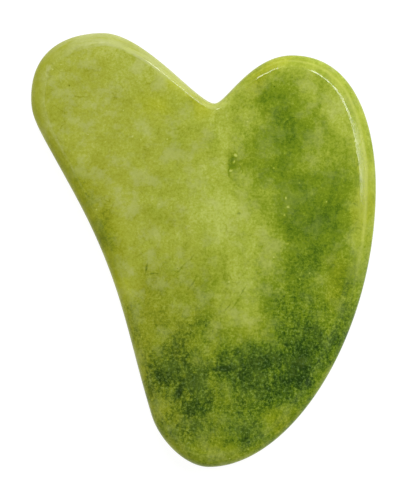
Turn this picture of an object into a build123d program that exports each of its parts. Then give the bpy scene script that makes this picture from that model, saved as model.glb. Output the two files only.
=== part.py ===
from build123d import *
from build123d.topology import SkipClean
import os
from math import cos, radians, sin

# Gua sha scraper: one flat plate of polished green stone with two lobes, a V between
# them and a long rounded tip. It lies on its back face. +X is to the right of the front
# face, +Y runs from the tip to the lobes, +Z comes out of the front face. All in mm.

# Overall sizes
stone_length = 80.0             # end of the tip to the top of the left lobe
stone_width = 63.6              # left lobe to the widest place of the right side
stone_thickness = 6.0           # back face to front face

# Places of the outline's anchors, each measured from the nearest side of the box
left_lobe_top_in = 13.3         # from the left side
left_lobe_side_down = 12.0      # from the top
waist_in = 7.9                  # where the left lobe runs out into the long left side
waist_down = 29.5
heel_in = 22.2                  # where the long left side turns into the tip
heel_up = 9.6                   # from the bottom
tip_in = 32.8                   # from the left side
belly_up = 51.7                 # widest place of the right side, from the bottom
right_lobe_top_in = 15.5        # from the right side
right_lobe_drop = 4.1           # the right lobe is this much lower than the left one
notch_in = 29.75                # lowest point of the V, from the right side
notch_depth = 13.0              # from the top

# Directions of the outline at the two anchors that don't stand at an extreme, degrees
waist_heading = -61.5
heel_heading = -73.2

# Width of the rounded rim at each anchor, silhouette to the edge of the flat face
left_lobe_rim = 2.1
left_side_rim = 2.4
waist_rim = 1.5
heel_rim = 1.4
tip_rim = 1.8
belly_rim = 3.0
right_lobe_rim = 2.6
notch_rim = 0.7

# The rim is ground in four steps from the flat face to the nose, the same on the front and
# on the back. Each step: its height as a share of the thickness, and how far the outline is
# drawn in there as a share of the rim's width.
rim_steps = [(0.0, 1.0), (0.15, 0.45), (0.27, 0.16), (0.42, 0.0)]

left, right = -stone_width / 2, stone_width / 2
bottom, top = -stone_length / 2, stone_length / 2

# Each anchor: x, y, heading of the outline as it runs anticlockwise, rim width, and the
# fullness of the curve that leaves it, at its start and at its end. A fullness is the
# length of a curve's handle as a share of how far the curve gets along that heading.
anchors = [
    # left lobe: top, then outer side
    (left + left_lobe_top_in, top, 180, left_lobe_rim, 0.47, 0.78),
    (left, top - left_lobe_side_down, 270, left_side_rim, 0.23, 0.70),
    # long left side: waist, then heel
    (left + waist_in, top - waist_down, waist_heading, waist_rim, 0.44, 0.38),
    (left + heel_in, bottom + heel_up, heel_heading, heel_rim, 0.385, 0.42),
    # tip, then the belly of the right side
    (left + tip_in, bottom, 0, tip_rim, 0.49, 0.535),
    (right, bottom + belly_up, 90, belly_rim, 0.31, 0.87),
    # right lobe, then the V
    (right - right_lobe_top_in, top - right_lobe_drop, 180, right_lobe_rim, 0.53, 0.14),
    (right - notch_in, top - notch_depth, 180, notch_rim, 0.15, 0.37),
]


def outline_curves(share):
    """The outline's curves as control points, drawn in by a share of the rim's width."""
    placed = []
    for x, y, heading, rim, start_fullness, end_fullness in anchors:
        along = Vector(cos(radians(heading)), sin(radians(heading)))
        inward = Vector(-along.Y, along.X)
        placed.append((Vector(x, y) + inward * rim * share, along, start_fullness, end_fullness))
    curves = []
    for here, following in zip(placed, placed[1:] + placed[:1]):
        start, leaving, start_fullness, end_fullness = here
        end, arriving = following[:2]
        chord = end - start
        first_handle = start + leaving * abs(chord.dot(leaving)) * start_fullness
        second_handle = end - arriving * abs(chord.dot(arriving)) * end_fullness
        curves.append([(point.X, point.Y) for point in (start, first_handle, second_handle, end)])
    return curves


def cross_section(height, share):
    """The stone's flat section at one height, with one edge for each curve."""
    with SkipClean(), BuildLine(Plane.XY.offset(height)) as outline:
        for control_points in outline_curves(share):
            Bezier(*control_points)
    return make_face(outline.edges())


front_steps = [(1 - height, share) for height, share in reversed(rim_steps)]
sections = [
    cross_section(stone_thickness * height, share)
    for height, share in rim_steps + front_steps
]

# The stone: a loft through its section at each step, flat on the back and on the front.
# Every curve keeps a face of its own in every step of the rim.
with BuildPart() as scraper_stone:
    loft(sections, ruled=True, clean=False)

scraper_stone.part.label = "scraper_stone"
os.makedirs("parts", exist_ok=True)
export_step(scraper_stone.part, "parts/scraper_stone.step")
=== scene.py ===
from math import radians
import bpy
import numpy as np
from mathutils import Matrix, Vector


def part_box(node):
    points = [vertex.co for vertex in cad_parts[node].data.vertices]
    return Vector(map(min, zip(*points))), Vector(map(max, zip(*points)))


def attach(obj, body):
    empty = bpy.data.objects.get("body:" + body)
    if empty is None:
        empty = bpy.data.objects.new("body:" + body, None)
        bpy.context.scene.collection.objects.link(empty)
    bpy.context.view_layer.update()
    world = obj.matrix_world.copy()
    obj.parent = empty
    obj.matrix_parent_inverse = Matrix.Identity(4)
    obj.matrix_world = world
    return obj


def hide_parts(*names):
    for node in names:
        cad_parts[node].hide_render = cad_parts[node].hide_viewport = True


# Gua sha scraper of clouded green stone, lying on its back face. Metres throughout, and
# millimetres inside the dictionaries and the shader where a comment says so.

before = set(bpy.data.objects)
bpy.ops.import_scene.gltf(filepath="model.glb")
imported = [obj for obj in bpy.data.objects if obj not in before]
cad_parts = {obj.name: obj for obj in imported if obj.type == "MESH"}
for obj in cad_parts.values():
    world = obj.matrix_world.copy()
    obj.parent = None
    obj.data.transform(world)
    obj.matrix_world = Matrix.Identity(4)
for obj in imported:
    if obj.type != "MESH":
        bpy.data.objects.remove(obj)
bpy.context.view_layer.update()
print("frame loaded")

mm = 0.001


class Wire:
    # a shader socket that can stand in a Python expression: each operator adds its Math node
    def __init__(self, tree, socket):
        self.tree = tree
        self.socket = socket

    def node(self, kind, settings, inputs, output=0):
        # any other node: its type, its settings, then the values or links of its sockets
        made = self.tree.nodes.new(kind)
        for name, value in settings.items():
            if name == "stops":
                setStops(made.color_ramp, value)
            else:
                setattr(made, name, value)
        for key, value in inputs.items():
            if isinstance(value, Wire):
                self.tree.links.new(value.socket, made.inputs[key])
            else:
                made.inputs[key].default_value = value
        return Wire(self.tree, made.outputs[output])

    def math(self, operation, first, second):
        return self.node("ShaderNodeMath", {"operation": operation}, {0: first, 1: second})

    def __add__(self, other):
        return self.math("ADD", self, other)

    __radd__ = __add__

    def __sub__(self, other):
        return self.math("SUBTRACT", self, other)

    def __rsub__(self, other):
        return self.math("SUBTRACT", other, self)

    def __mul__(self, other):
        return self.math("MULTIPLY", self, other)

    __rmul__ = __mul__


def setStops(ramp, stops):
    while len(ramp.elements) < len(stops):
        ramp.elements.new(1.0)
    for element, (place, colour) in zip(ramp.elements, stops):
        element.position = place
        element.color = colour


def paint(red, green, blue):
    # a colour as a paint chip reads, 0 to 255, turned to linear light
    share = np.array([red, green, blue]) / 255
    linear = np.where(share <= 0.04045, share / 12.92, ((share + 0.055) / 1.055) ** 2.4)
    return (*linear.tolist(), 1.0)


def smooth(wire, low, high):
    # 0 below low, 1 above high, an S-curve between
    return wire.node("ShaderNodeMapRange", {"interpolation_type": "SMOOTHSTEP"},
                     {"Value": wire, "From Min": low, "From Max": high})


def mixColour(share, first, second):
    return share.node("ShaderNodeMix", {"data_type": "RGBA"}, {0: share, 6: first, 7: second}, 2)


def noise(at, size, detail=3.0, roughness=0.5, shift=(0, 0, 0)):
    # cloudy noise, its blotches about size millimetres across
    moved = at.node("ShaderNodeVectorMath", {"operation": "ADD"}, {0: at, 1: shift})
    return moved.node("ShaderNodeTexNoise", {}, {"Vector": moved, "Scale": 1 / size,
                      "Detail": detail, "Roughness": roughness})


def warp(at, size, reach, detail=2.0):
    # moves the place that a pattern is read from by up to reach millimetres each way
    push = at.node("ShaderNodeTexNoise", {}, {"Vector": at, "Scale": 1 / size, "Detail": detail}, 1)
    centred = push.node("ShaderNodeVectorMath", {"operation": "SUBTRACT"}, {0: push, 1: (0.5,) * 3})
    return at.node("ShaderNodeVectorMath", {"operation": "MULTIPLY_ADD"},
                   {0: centred, 1: (2 * reach,) * 3, 2: at})


def spot(at, across, up, halfWidth, halfHeight, turn=0, height=6, depth=16):
    # a soft ellipsoid: 1 at its middle, falling to 0 at its edge, all in millimetres
    inside = at.node("ShaderNodeMapping", {"vector_type": "TEXTURE"},
                     {"Vector": at, "Location": (across, up, height),
                      "Rotation": (0, 0, radians(turn)), "Scale": (halfWidth, halfHeight, depth)})
    fade = inside.node("ShaderNodeTexGradient", {"gradient_type": "SPHERICAL"}, {"Vector": inside}, 1)
    return smooth(fade, 0.0, 1.0)


stoneShape = {
    # anchors of the outline, anticlockwise, in millimetres from the box's left or right and
    # bottom or top side; then heading in degrees, rim width, and the fullness of the curve
    # that leaves the anchor, at its start and at its end: the values of the CAD part. A
    # fullness is a handle's length as a share of how far the curve gets along that heading.
    # Last, how soft the crest is there, 0 crisp to 1 round, and how far inside the rim's
    # width it begins.
    "anchors": [
        ("left", 13.3, "top", 0.0, 180, 2.1, 0.47, 0.78, 1.0, 0.9),
        ("left", 0.0, "top", -12.0, 270, 2.4, 0.23, 0.70, 1.0, 1.6),
        ("left", 7.9, "top", -29.5, -61.5, 1.5, 0.44, 0.38, 0.9, 1.1),
        ("left", 22.2, "bottom", 9.6, -73.2, 1.4, 0.385, 0.42, 0.9, 1.0),
        ("left", 32.8, "bottom", 0.0, 0, 1.8, 0.49, 0.535, 1.0, 1.3),
        ("right", 0.0, "bottom", 51.7, 90, 3.0, 0.31, 0.87, 0.3, 2.1),
        ("right", -15.5, "top", -4.1, 180, 2.6, 0.53, 0.14, 0.0, 0.5),
        ("right", -29.75, "top", -13.0, 180, 0.7, 0.15, 0.37, 0.2, 0.5),
    ],
    "pathSteps": 760,       # points round the outline
    "faceRings": 15,        # rings from the middle of a face to its crest
    "rimRings": 30,         # rings from a crest to the nose
    "sectionSamples": 2001,
    "bendCrowding": 0.9,    # how much closer the rings stand where the section bends
    "curveBlend": 0.22,     # mm, evens out the bends where two curves meet
    "rimBlend": 5.0,        # mm, the same for the rim's width
    "crestTurn": 25,        # degrees the surface turns over the crest
    "bevelTurn": 9,         # and along the bevel
    "shoulderTurn": 18,     # and over the second crest
    "crestEnd": (0.19, 0.40),       # where the crest ends and the shoulder lies, as shares of the rim
    "shoulderStart": 0.40,
    "shoulderEnd": 0.54,
    "rimWander": 0.12,      # mm, how unevenly the rim was ground by hand
    "noseWander": 0.035,
    "faceWander": 0.018,
}


def ease(value, low, high):
    share = np.clip((value - low) / (high - low), 0, 1)
    return share * share * (3 - 2 * share)


def evenOut(values, spacing, reach):
    # a closed run of values, blurred by a bell curve of that reach
    count = len(values)
    waves = np.fft.rfftfreq(count, spacing)
    kept = np.exp(-2 * (np.pi * waves * reach) ** 2)
    return np.fft.irfft(np.fft.rfft(values, axis=0) * kept.reshape(-1, *[1] * (values.ndim - 1)),
                        count, axis=0)


def outlinePath(shape, low, high):
    # Each point is a cubic curve between two anchors, with handles along their headings:
    # (1-t)^3 a + 3(1-t)^2 t b + 3(1-t) t^2 c + t^3 d. The points are then spaced evenly.
    sides = {"left": low.x / mm, "right": high.x / mm, "bottom": low.y / mm, "top": high.y / mm}
    start = np.array([[sides[a[0]] + a[1], sides[a[2]] + a[3]] for a in shape["anchors"]])
    heading = np.radians([a[4] for a in shape["anchors"]])
    fullness = np.array([a[6:8] for a in shape["anchors"]])
    leaving = np.column_stack([np.cos(heading), np.sin(heading)])
    end = np.roll(start, -1, axis=0)
    arriving = np.roll(leaving, -1, axis=0)
    chord = end - start
    first = start + leaving * np.abs((chord * leaving).sum(axis=1)[:, None]) * fullness[:, :1]
    second = end - arriving * np.abs((chord * arriving).sum(axis=1)[:, None]) * fullness[:, 1:]
    fine = 600
    t = (np.arange(fine) / fine)[None, :, None]
    curve = ((1 - t) ** 3 * start[:, None] + 3 * (1 - t) ** 2 * t * first[:, None]
             + 3 * (1 - t) * t ** 2 * second[:, None] + t ** 3 * end[:, None]).reshape(-1, 2)
    step = np.linalg.norm(np.roll(curve, -1, axis=0) - curve, axis=1)
    along = np.concatenate([[0], np.cumsum(step)])
    closed = np.vstack([curve, curve[:1]])
    count = shape["pathSteps"]
    even = np.arange(count) * along[-1] / count
    path = np.column_stack([np.interp(even, along, closed[:, k]) for k in (0, 1)])
    path = evenOut(path, along[-1] / count, shape["curveBlend"])
    stops = along[np.arange(len(start) + 1) * fine]

    def between(values, reach):
        # values given at the anchors, spread evenly between them and evened out
        run = np.interp(even, stops, np.append(values, values[0]))
        return evenOut(run, along[-1] / count, reach)

    width = between([a[5] for a in shape["anchors"]], shape["rimBlend"])
    softness = between([a[8] for a in shape["anchors"]], shape["rimBlend"])
    crestIn = between([a[9] for a in shape["anchors"]], shape["rimBlend"])
    return path, width + crestIn, softness, even / along[-1]


def rimSection(shape, crestEnd):
    # The section is drawn by its slope: it turns over the crest, a little along the bevel,
    # again over the shoulder, and on to upright at the nose. Summing the cosine and sine of
    # the slope gives how far in and how far down the section has come, each as a share.
    s = np.linspace(0, 1, shape["sectionSamples"])
    slope = (shape["crestTurn"] * ease(s, 0, crestEnd) + shape["bevelTurn"] * s
             + shape["shoulderTurn"] * ease(s, shape["shoulderStart"], shape["shoulderEnd"]))
    slope += (90 - slope[-1]) * ease(s, shape["shoulderEnd"] - 0.1, 1.0)
    slope = np.radians(slope)
    out = np.cumsum(np.cos(slope))
    down = np.cumsum(np.sin(slope))
    busy = s + shape["bendCrowding"] * slope / slope[-1]
    chosen = np.interp(np.linspace(0, busy[-1], shape["rimRings"] + 1), busy, s)
    return np.stack([np.interp(chosen, s, run / run[-1]) for run in (out, down)])


def makeStone(shape):
    # A ring at each step of the section is carried round the outline: a point lies its inset
    # in from the outline, along the inward normal, at its height. Inside the crest the rings
    # shrink in straight lines to the middle of each face.
    low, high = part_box("scraper_stone")
    path, width, softness, turnShare = outlinePath(shape, low, high)
    tangent = np.roll(path, -1, axis=0) - np.roll(path, 1, axis=0)
    tangent /= np.linalg.norm(tangent, axis=1, keepdims=True)
    inward = np.column_stack([-tangent[:, 1], tangent[:, 0]])
    crisp, soft = [rimSection(shape, end)[..., None] for end in shape["crestEnd"]]
    out, down = crisp + (soft - crisp) * softness
    half = (high.z - low.z) / mm / 2
    angle = 2 * np.pi * turnShare
    wander = shape["rimWander"] * (np.sin(5 * angle + 0.7) + 0.6 * np.sin(11 * angle + 2.1)
                                   + 0.4 * np.sin(23 * angle + 4.0)) / 2
    otherWander = shape["rimWander"] * (np.sin(6 * angle + 3.0) + 0.6 * np.sin(13 * angle + 0.4)) / 1.6
    nose = shape["noseWander"] * (np.sin(17 * angle + 1.3) + 0.7 * np.sin(31 * angle + 2.6))

    def rimHalf(face, offset):
        # rings from the crest to the nose on one face: face is 1 on the front, -1 on the back
        reach = width + offset
        inset = reach * (1 - out) - nose * np.sin(np.pi * out)
        flat = path[None] + inward[None] * inset[..., None]
        height = half + face * half * (1 - down)
        return np.concatenate([flat, height[..., None]], axis=2)

    front = rimHalf(1, wander)
    back = rimHalf(-1, otherWander)
    middle = front[0].mean(axis=0)
    share = (np.arange(1, shape["faceRings"]) / shape["faceRings"])[:, None, None]
    frontFace = middle + (front[0] - middle) * share
    middleBack = middle * [1, 1, 0]
    backFace = middleBack + (back[0] - middleBack) * share
    rings = np.concatenate([frontFace, front, back[::-1][1:], backFace[::-1]])
    x, y, z = rings[..., 0], rings[..., 1], rings[..., 2]
    wave = (np.sin(x / 5.1 + y / 8.3) + np.sin(y / 6.7 - x / 11 + 2) + 0.6 * np.sin(x / 3.1 + 1))
    faceShare = np.abs(z - half) / half
    rings[..., 2] += shape["faceWander"] * wave * np.where(z > half, 1, 0) * faceShare ** 4
    count, around = rings.shape[:2]
    points = np.vstack([rings.reshape(-1, 3), middle, middleBack])
    index = np.arange(count * around).reshape(count, around)
    beside = np.roll(index, -1, axis=1)
    quads = np.stack([index[:-1], index[1:], beside[1:], beside[:-1]], axis=-1).reshape(-1, 4)
    top = np.stack([np.full(around, count * around), index[0], beside[0]], axis=-1)
    under = np.stack([np.full(around, count * around + 1), beside[-1], index[-1]], axis=-1)
    mesh = bpy.data.meshes.new("greenStone")
    mesh.from_pydata((points * mm).tolist(), [], quads.tolist() + top.tolist() + under.tolist())
    mesh.polygons.foreach_set("use_smooth", np.ones(len(mesh.polygons), bool))
    inner = np.zeros((shape["faceRings"] - 1, around))
    shares = np.concatenate([inner, out, out[::-1][1:], inner]).ravel()
    rimShare = np.append(shares, [0, 0]).astype(np.float32)
    attribute = mesh.attributes.new("rimShare", "FLOAT", "POINT")
    attribute.data.foreach_set("value", rimShare)
    # a round of 8 units and 4 units from crest to nose, so that bands can follow the rim
    spread = np.stack([np.tile(8 * np.cos(angle), count), np.tile(8 * np.sin(angle), count),
                       4 * shares], axis=-1)
    placed = mesh.attributes.new("rimPlace", "FLOAT_VECTOR", "POINT")
    placed.data.foreach_set("vector", np.append(spread, np.zeros(6)).astype(np.float32))
    mesh.update()
    stone = bpy.data.objects.new("greenStone", mesh)
    bpy.context.scene.collection.objects.link(stone)
    print("stone made:", len(mesh.polygons), "faces")
    return stone


stoneFinish = {
    # dark clouds: across, up, half width and half height in mm, turn in degrees, strength
    "darkClouds": [
        (-7.5, -21.5, 6, 7, 0, 0.50),
        (-3, -25, 6.5, 7.5, 0, 0.62),
        (-2.5, -31, 7, 6, 0, 0.35),
        (7.5, -21, 8, 7, 0, 0.66),
        (15, -22, 11, 7, -8, 0.55),
        (19.5, -16.5, 8, 7, 0, 0.50),
        (12, -26.5, 7, 5, 20, 0.34),
        (8.5, -33.5, 5, 6, 0, 0.30),
        (4, -29, 26, 20, 0, 0.42),
        (14, 21, 10, 22, 0, 0.52),
        (22, 9, 11, 15, 0, 0.45),
        (17, 4, 7, 6, 0, 0.18),
        (23, 5, 6, 7, 0, 0.12),
        (19, -2.5, 7, 8, 0, 0.26),
        (19, -11, 14, 13, 0, 0.40),
        (7, 25, 6, 8, 0, 0.20),
        (5.5, 17, 4.5, 6, 0, 0.16),
        (-19, 5, 5, 13, 28, 0.36),
        (-27, 18, 4, 6, 28, 0.16),
        (-1, -9, 9, 12, 0, 0.24),
        (-2, -16, 8, 8, 0, 0.40),
        (-9, -12, 6, 12, 15, 0.24),
        (-8, -5, 6, 8, 0, 0.16),
        (12, -4, 6, 8, 0, 0.14),
        (17, -4, 7, 8, 0, 0.14),
        (25, -4, 4, 8, -10, 0.22),
        (25, -16, 5, 8, -30, 0.34),
        (29, -8, 5, 13, -10, 0.26),
        (-25, 14, 4.5, 9, 28, 0.22),
        (-18, 1, 4, 9, 24, 0.20),
        (-12, -16, 3.5, 10, 12, 0.26),
        (12, 3, 6, 8, 0, 0.16),
        (6, -16, 5, 4.5, 0, 0.22),
        (19, -22, 5, 5, 0, 0.22),
        (18, -27, 5, 5, 30, 0.14),
        (25, 17, 5, 9, 0, 0.14),
        (23, 25, 6, 8, 0, 0.12),
        (19, 19, 4, 7, 0, 0.10),
        (-8, -27, 5, 8, 10, 0.22),
        (2, -26, 4, 5, 0, 0.12),
        (14, -11, 5, 8, 0, 0.20),
        (-26, 24, 6, 7, 0, 0.07),
        (6, -10, 4, 5, 0, 0.06),
        (11, -28, 5, 4, 0, 0.12),
        (25, -5, 4, 8, 0, 0.08),
        (21, -2, 5, 5, 0, 0.14),
        (20, 18, 4, 4, 0, 0.08),
        (-11, -27, 3, 5, 0, 0.22),
        (5, -27, 4, 4, 0, 0.14),
        (0, -23, 4, 4, 0, 0.12),
        (15, -32, 4, 3, 35, 0.14),
        (-9, -22, 4.5, 6, 0, 0.16),
        (1, -26, 5, 5, 0, 0.14),
        (10, -19.5, 5, 3.5, 0, 0.10),
        (17, -22, 5, 4.5, 0, 0.18),
        (26, 29, 3, 5, 40, 0.10),
        (-10, 5, 5, 8, 0, 0.10),
        (-20, 13, 4, 5, 0, 0.12),
    ],
    # light clouds, in the same order
    "lightClouds": [
        (3, 8, 9, 11, 0, 0.16),
        (7, -10, 7, 8, 0, 0.12),
        (12, 0, 5, 10, 0, 0.14),
        (23, -5, 5, 7, 0, 0.20),
        (19.5, 17, 5, 8, 0, 0.16),
        (3.5, -25, 4, 5, 0, 0.26),
        (1, -18, 6, 5, 0, 0.12),
        (-18, 39, 8, 6, 0, 0.18),
        (-5, 33, 8, 6, -35, 0.16),
        (6, 26, 10, 6, 0, 0.14),
        (12, -22, 4.5, 4, 0, 0.05),
        (14, -31, 6, 4, 20, 0.10),
        (-12, 32, 6, 5, 0, 0.12),
        (0, 25, 5, 5, 0, 0.10),
        (5.5, 20, 5, 6, 0, 0.12),
        (15.5, 33, 5.5, 4.5, 0, 0.24),
        (10, 23, 4.5, 4.5, 0, 0.26),
        (15, 17, 9, 9, 0, 0.10),
        (24, 17, 4, 5, 0, 0.10),
        (19, 28, 4, 4, 0, 0.12),
        (15, -6, 4, 5, 0, 0.14),
        (24, -14, 4, 5, 0, 0.13),
        (7, -37, 7, 3.5, 15, 0.12),
        (-6, -36, 4, 4, 0, 0.10),
        (-14, 34, 5, 5, 0, 0.08),
        (25, 23, 4, 5, 0, 0.14),
        (2, 17, 6, 5, 0, 0.11),
        (-5, -28, 4, 6, 0, 0.20),
        (9, -37, 6, 4, 20, 0.16),
        (0, -16.5, 4, 4, 0, 0.12),
        (6, -4, 5, 5, 0, 0.10),
        (12, -9, 4, 5, 0, 0.12),
    ],
    # places where the stone is a purer yellow, in the same order
    "yellowClouds": [
        (-3, 31, 5, 9, 40, 0.9),
        (-9, 26, 6, 8, 30, 0.5),
        (0, 26, 5, 5, 0, 0.7),
        (13, 34, 9, 3.5, 20, 0.8),
        (9, 30, 5, 5, 0, 0.5),
        (29.5, 10, 2.5, 18, 0, 0.6),
        (25, -6, 4.5, 11, 0, 0.42),
        (14, -31, 7, 4.5, 20, 0.5),
        (-20, -3, 3, 10, 25, 0.6),
        (-17, 3, 5, 8, 30, 0.4),
        (5, -28, 5, 3, 0, 0.3),
        (2, -36, 7, 4, 0, 0.4),
        (10, -14, 5, 4, 0, 0.4),
        (-15.5, -6, 3, 8, 20, 0.6),
        (-23, 12, 3, 8, 30, 0.4),
    ],
    # places where the polish is worn, in the same order
    "matteClouds": [
        (-20, 38, 11, 8, 10, 1.0),
        (-30, 27, 6, 11, 0, 0.4),
        (-20, 6, 8, 24, 28, 0.9),
        (30, 2, 5, 13, 0, 0.95),
        (16.5, 34.5, 4.5, 4, 0, 0.85),
        (29, 19, 9, 17, 0, 0.45),
    ],
    # hairline marks, and painted glints and highlight streaks where the strength is below 0, in the
    # same order
    "marksAndGlints": [
        (-10.4, -3.2, 0.25, 1.8, -12, 0.45),
        (-9.2, -4.3, 1.8, 0.22, 12, 0.35),
        (-4.2, -3.4, 0.22, 2.4, -44, 0.24),
        (-2.4, -1.6, 0.2, 1.6, -40, 0.18),
        (7.2, -7.4, 0.22, 1.8, -32, 0.32),
        (6.0, -9.6, 0.25, 2.2, -38, 0.22),
        (4.4, -10.4, 0.2, 1.8, -36, 0.26),
        (3.4, -21.6, 3.6, 0.8, 4, 0.6),
        (-4.2, -25.5, 0.9, 3.2, -28, 0.5),
        (-2.0, -6.0, 0.25, 2.6, -30, 0.3),
        (5.2, 15.8, 1.3, 2.6, -8, 0.34),
        (5.9, 17.3, 0.5, 0.45, 0, -0.8),
        (5.6, 16.2, 0.35, 0.6, 0, -0.7),
        (5.0, 14.4, 0.5, 0.3, 0, -0.7),
        (15.1, 9.4, 0.3, 0.45, 0, -0.7),
        (15.4, 7.9, 0.45, 0.3, 0, -0.7),
        (14.8, 6.4, 0.3, 0.4, 0, -0.5),
        (6.4, 6.7, 0.45, 0.45, 0, 0.35),
        (-23, 28, 4.2, 0.2, -2, 0.22),
        (-24.5, 30, 0.35, 0.35, 0, 0.5),
        (-6.6, 31.7, 8.5, 1.4, -40, -0.20),
        (-12.9, 36.2, 3.4, 0.7, -22, -0.45),
    ],
    "darkest": 1.35,        # the darkness at the end of each run of colours
    # colours from clear stone to the darkest cloud, on the left side, on the right side and
    # where the stone is a purer yellow
    "leftColours": [(0.0, (186, 193, 98)), (0.22, (166, 173, 62)), (0.48, (146, 152, 36)),
                    (0.75, (110, 122, 24)), (1.0, (76, 94, 22)), (1.35, (48, 64, 14))],
    "rightColours": [(0.0, (188, 201, 98)), (0.22, (164, 178, 62)), (0.48, (124, 146, 26)),
                     (0.75, (88, 116, 18)), (1.0, (58, 86, 18)), (1.35, (36, 60, 12))],
    "yellowColours": [(0.0, (186, 194, 60)), (0.22, (170, 176, 34)), (0.48, (142, 152, 14)),
                      (0.75, (104, 122, 10)), (1.0, (70, 90, 12)), (1.35, (44, 60, 10))],
    "milk": (180, 186, 112),
    "deepMilk": (124, 148, 48),
    "paleGrain": (116, 144, 92),
    # painted light on the upper right rim
    "rimPaintedLight": (180, 190, 70),
    # painted light on the left rim
    "leftRimPaintedLight": (158, 162, 42),
    # painted highlight: a pale sheen on the rim at the top of the left lobe
    "lobeTopPaintedSheen": (192, 198, 134),
    # painted highlight along the second crest
    "secondCrestPaintedHighlight": (208, 214, 112),
    "specksPerMm": 0.62,
    # what is the same all over the stone
    "constants": {"IOR": 1.5, "Specular IOR Level": 0.06, "Coat Roughness": 0.06,
                  "Subsurface Weight": 0.12, "Subsurface Radius": (0.9, 1.0, 0.35),
                  "Subsurface Scale": 0.0012},
}


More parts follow.
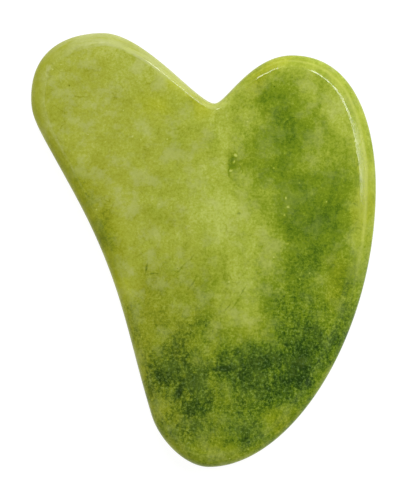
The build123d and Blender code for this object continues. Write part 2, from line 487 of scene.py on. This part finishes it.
def stoneMaterial(finish):
    # One number, the darkness, is summed from the clouds, noise, veins, marks, painted glints,
    # specks and a painted shade on the lower rim. The runs of colours turn it into a colour, and milk,
    # pale grain and yellow are mixed over that, then painted light and highlights on the rim.
    material = bpy.data.materials.new("cloudedGreenStone")
    material.use_nodes = True
    tree = material.node_tree
    shader = tree.nodes["Principled BSDF"]
    seed = Wire(tree, None)
    # output 3 of this node is the Object coordinate in metres, and at is the same in mm
    place = seed.node("ShaderNodeTexCoord", {}, {}, 3)
    at = place.node("ShaderNodeVectorMath", {"operation": "MULTIPLY"}, {0: place, 1: (1 / mm,) * 3})
    # where a point lies along the rim, and how far from the crest to the nose
    around = at.node("ShaderNodeAttribute", {"attribute_name": "rimPlace"}, {}, 1)
    rim = at.node("ShaderNodeAttribute", {"attribute_name": "rimShare"}, {}, 2)
    bands = noise(around, 1.0, 3, 0.6)
    across = at.node("ShaderNodeSeparateXYZ", {}, {0: at})
    up = at.node("ShaderNodeSeparateXYZ", {}, {0: at}, 1)
    high = smooth(up, -16.0, 8.0)
    ragged = warp(warp(at, 8.0, 2.4), 2.6, 1.5, 5.0)
    fibres = at.node("ShaderNodeVectorMath", {"operation": "MULTIPLY"}, {0: ragged, 1: (1, 0.28, 0.5)})
    streaks = noise(fibres, 1.7, 4, 0.6, (6, 2, 9)) - 0.5
    dark = noise(ragged, 14, 4, 0.55) * 0.30 - 0.14
    for cloud in finish["darkClouds"]:
        dark = dark + spot(ragged, *cloud[:5]) * cloud[5]
    patches = noise(at, 5.0, 5, 0.62, (9, 9, 1)) * 22 - 11
    side = smooth(at.node("ShaderNodeSeparateXYZ", {}, {0: ragged}) + patches, -22.0, 16.0)
    lumpMiddle = 0.82
    lumps = noise(at, 2.2, 6, 0.72, (4, 8, 2)) * 1.6 + 0.02
    lumps = (lumps - lumpMiddle) * (1 - side * high * 0.5) + lumpMiddle
    # painted shade: the rim is darker below the middle, where it turns away from the lamps
    dark = dark * lumps + (1 - high) * smooth(rim, 0.0, 0.6) * 0.08 + 0.256
    for cloud in finish["lightClouds"]:
        dark = dark - spot(ragged, *cloud[:5]) * cloud[5]
    blotches = noise(at, 3.2, 6, 0.70, (11, 3, 5)) - 0.5
    grain = noise(at, 0.5, 3, 0.8, (2, 9, 4)) - 0.5
    deep = smooth(dark, 0.25, 0.9)
    tangle = noise(fibres, 0.7, 4, 0.7, (1, 4, 1)) - 0.5
    lowerShare = 1 - high * 0.8
    dark = dark + blotches * 0.62 + grain * (deep * lowerShare * 1.5 + 0.76)
    dark = dark + tangle * deep * lowerShare * 1.3
    dark = dark + streaks * (side * 0.42 + 0.08)
    fineWarp = warp(at, 1.2, 0.35)
    for markOrGlint in finish["marksAndGlints"]:
        # a strength below 0 paints a glint or a highlight streak
        dark = dark + spot(fineWarp, *markOrGlint[:5]) * markOrGlint[5]
    veinField = noise(warp(at, 3.0, 1.2), 6.5, 2, 0.4, (8, 8, 3)) - 0.5
    vein = 1 - smooth(veinField.math("ABSOLUTE", veinField, 0), 0.0, 0.012)
    veinShare = vein * smooth(noise(at, 5.0, 2, 0.5, (1, 7, 7)), 0.50, 0.66)
    dark = dark + veinShare * 0.16
    # each cell draws a lot: a low one gives a dark speck, a high one a pale speck
    perMm = finish["specksPerMm"]
    cells = at.node("ShaderNodeTexVoronoi", {}, {"Vector": at, "Scale": perMm})
    cellShade = at.node("ShaderNodeTexVoronoi", {}, {"Vector": at, "Scale": perMm}, 1)
    lot = at.node("ShaderNodeSeparateXYZ", {}, {0: cellShade})
    speck = 1 - smooth(cells, 0.05, 0.13)
    dark = dark + speck * (1 - smooth(lot, 0.10, 0.14)) * 0.30
    dark = dark - speck * smooth(lot, 0.80, 0.84) * 0.42
    darkest = finish["darkest"]

    def ramp(stops):
        spread = [(darkness / darkest, paint(*shade)) for darkness, shade in stops]
        return dark.node("ShaderNodeValToRGB", {"stops": spread}, {0: dark * (1 / darkest)})

    tint = side + noise(at, 1.5, 4, 0.7, (6, 6, 2)) * 0.5 - 0.25
    colour = mixColour(tint, ramp(finish["leftColours"]), ramp(finish["rightColours"]))
    milkField = noise(at, 4.2, 7, 0.7, (7, 1, 3))
    milkShare = smooth(milkField, 0.47, 0.66) * (1 - deep)
    colour = mixColour(milkShare * (0.60 - side * 0.26), colour, paint(*finish["milk"]))
    colour = mixColour(smooth(milkField, 0.44, 0.62) * deep * 0.24, colour, paint(*finish["deepMilk"]))
    paleGrain = smooth(grain * -1, 0.0, 0.28) * deep * lowerShare * 0.7
    colour = mixColour(paleGrain, colour, paint(*finish["paleGrain"]))
    yellow = noise(at, 6.0, 5, 0.6, (3, 6, 8)) * 0.8 - 0.42
    for cloud in finish["yellowClouds"]:
        yellow = yellow + spot(ragged, *cloud[:5]) * cloud[5]
    colour = mixColour(smooth(yellow, 0.0, 0.9) * 0.8, colour, ramp(finish["yellowColours"]))
    right = smooth(across, 0.0, 20.0)
    # painted light: the upper right rim is painted lighter, where the key lamp falls on it
    lit = right * high * smooth(rim, 0.0, 0.5) * smooth(bands, 0.3, 0.7) * 0.45
    colour = mixColour(lit, colour, paint(*finish["rimPaintedLight"]))
    # painted highlight: a pale line along the second crest of the upper right rim
    secondCrestShare = smooth(rim, 0.46, 0.58) * (1 - smooth(rim, 0.58, 0.70))
    colour = mixColour(secondCrestShare * right * high * 0.35, colour, paint(*finish["secondCrestPaintedHighlight"]))
    # painted light: an olive that lifts the left rim, which turns away from the lamps, more so higher
    # up
    leftRimLightShare = smooth(across * -1, -12.0, 8.0) * smooth(rim, 0.15, 0.8) * (high * 0.40 + 0.05)
    colour = mixColour(leftRimLightShare, colour, paint(*finish["leftRimPaintedLight"]))
    # painted highlight: a pale sheen along the rim at the top of the left lobe
    lobeTop = smooth(up + across * 0.45, 20.0, 29.0) * (1 - smooth(across, 0.0, 4.0))
    lobeTop = lobeTop * smooth(rim, 0.0, 0.14)
    colour = mixColour(lobeTop * smooth(bands, 0.2, 0.6) * 0.55, colour, paint(*finish["lobeTopPaintedSheen"]))
    rough = noise(at, 4, 4, 0.6, (1, 5, 9)) * 0.10 + 0.14
    worn = smooth(noise(at, 1.3, 3, 0.6), 0.36, 0.58) * 0.6 + 0.4
    polish = (0.9 - smooth(rim, 0.2, 0.6) * 0.88) * worn
    for cloud in finish["matteClouds"]:
        polish = polish * (1 - spot(at, *cloud[:5]) * cloud[5])
    tree.links.new(colour.socket, shader.inputs["Base Color"])
    tree.links.new(rough.socket, shader.inputs["Roughness"])
    tree.links.new(polish.socket, shader.inputs["Coat Weight"])
    unevenness = noise(at, 2.2, 3, 0.5, (5, 5, 1)) + noise(at, 0.4, 2, 0.5) * 0.12
    bump = unevenness.node("ShaderNodeBump", {},
                           {"Strength": 0.05, "Distance": 0.0006, "Height": unevenness})
    tree.links.new(bump.socket, shader.inputs["Normal"])
    for name, value in finish["constants"].items():
        shader.inputs[name].default_value = value
    return material


stone = makeStone(stoneShape)
stone.data.materials.append(stoneMaterial(stoneFinish))
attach(stone, "root")
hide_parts("scraper_stone")
print("stone finished")


studio = {
    "floorSize": 3.0,
    "floorColour": (0.22, 0.22, 0.22, 1.0),
    "floorGlow": 0.90,
    # brightness of the studio straight overhead, around that, and at the horizon
    "overhead": 0.05,
    "around": 0.33,
    "horizon": 0.85,
    # how high one turns into the next, as the sine of the elevation
    "horizonFade": (0.12, 0.34),
    "overheadFade": (0.93, 0.985),
    # softboxes: place, side lengths, power in watts
    "softboxes": [
        ("keyRight", (0.228, 0.168, 0.32), 0.36, 0.08, 1.04),
        ("keyTop", (-0.055, 0.27, 0.32), 0.07, 0.07, 0.36),
        ("fillLeft", (-0.26, 0.06, 0.32), 0.26, 0.18, 0.24),
    ],
    "lens": 100,
    "sensor": 36,
    "frameHeight": 92.3 * mm,
}


def makeFloor(studio):
    reach = studio["floorSize"] / 2
    corners = [(-reach, -reach, 0), (reach, -reach, 0), (reach, reach, 0), (-reach, reach, 0)]
    mesh = bpy.data.meshes.new("floor")
    mesh.from_pydata(corners, [], [(0, 1, 2, 3)])
    floor = bpy.data.objects.new("floor", mesh)
    bpy.context.scene.collection.objects.link(floor)
    material = bpy.data.materials.new("paleFloor")
    material.use_nodes = True
    shader = material.node_tree.nodes["Principled BSDF"]
    shader.inputs["Base Color"].default_value = studio["floorColour"]
    shader.inputs["Roughness"].default_value = 0.9
    shader.inputs["Specular IOR Level"].default_value = 0.0
    shader.inputs["Emission Color"].default_value = (1, 1, 1, 1)
    shader.inputs["Emission Strength"].default_value = studio["floorGlow"]
    mesh.materials.append(material)


def makeLights(studio):
    world = bpy.data.worlds.new("studioWhite")
    world.use_nodes = True
    tree = world.node_tree
    direction = Wire(tree, None).node("ShaderNodeTexCoord", {}, {}, 0)
    elevation = direction.node("ShaderNodeSeparateXYZ", {}, {0: direction}, 2)
    light = smooth(elevation, *studio["horizonFade"]) * (studio["around"] - studio["horizon"])
    light = light + studio["horizon"]
    above = smooth(elevation, *studio["overheadFade"])
    light = light + above * (studio["overhead"] - studio["around"])
    tree.links.new(light.socket, tree.nodes["Background"].inputs["Strength"])
    tree.nodes["Background"].inputs["Color"].default_value = (1, 1, 1, 1)
    bpy.context.scene.world = world
    for name, place, width, height, power in studio["softboxes"]:
        data = bpy.data.lights.new(name, "AREA")
        data.shape = "RECTANGLE"
        data.size = width
        data.size_y = height
        data.energy = power
        lamp = bpy.data.objects.new(name, data)
        lamp.location = place
        lamp.rotation_euler = (-Vector(place)).to_track_quat("-Z", "Y").to_euler()
        bpy.context.scene.collection.objects.link(lamp)


def makeCamera(studio):
    low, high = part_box("scraper_stone")
    data = bpy.data.cameras.new("camera")
    data.lens = studio["lens"]
    data.sensor_fit = "VERTICAL"
    data.sensor_height = studio["sensor"]
    distance = studio["frameHeight"] * studio["lens"] / studio["sensor"]
    camera = bpy.data.objects.new("camera", data)
    camera.location = (0, 0, (low.z + high.z) / 2 + distance)
    bpy.context.scene.collection.objects.link(camera)
    bpy.context.scene.camera = camera


makeFloor(studio)
makeLights(studio)
makeCamera(studio)
bpy.context.scene.view_settings.view_transform = "Standard"
print("studio set")
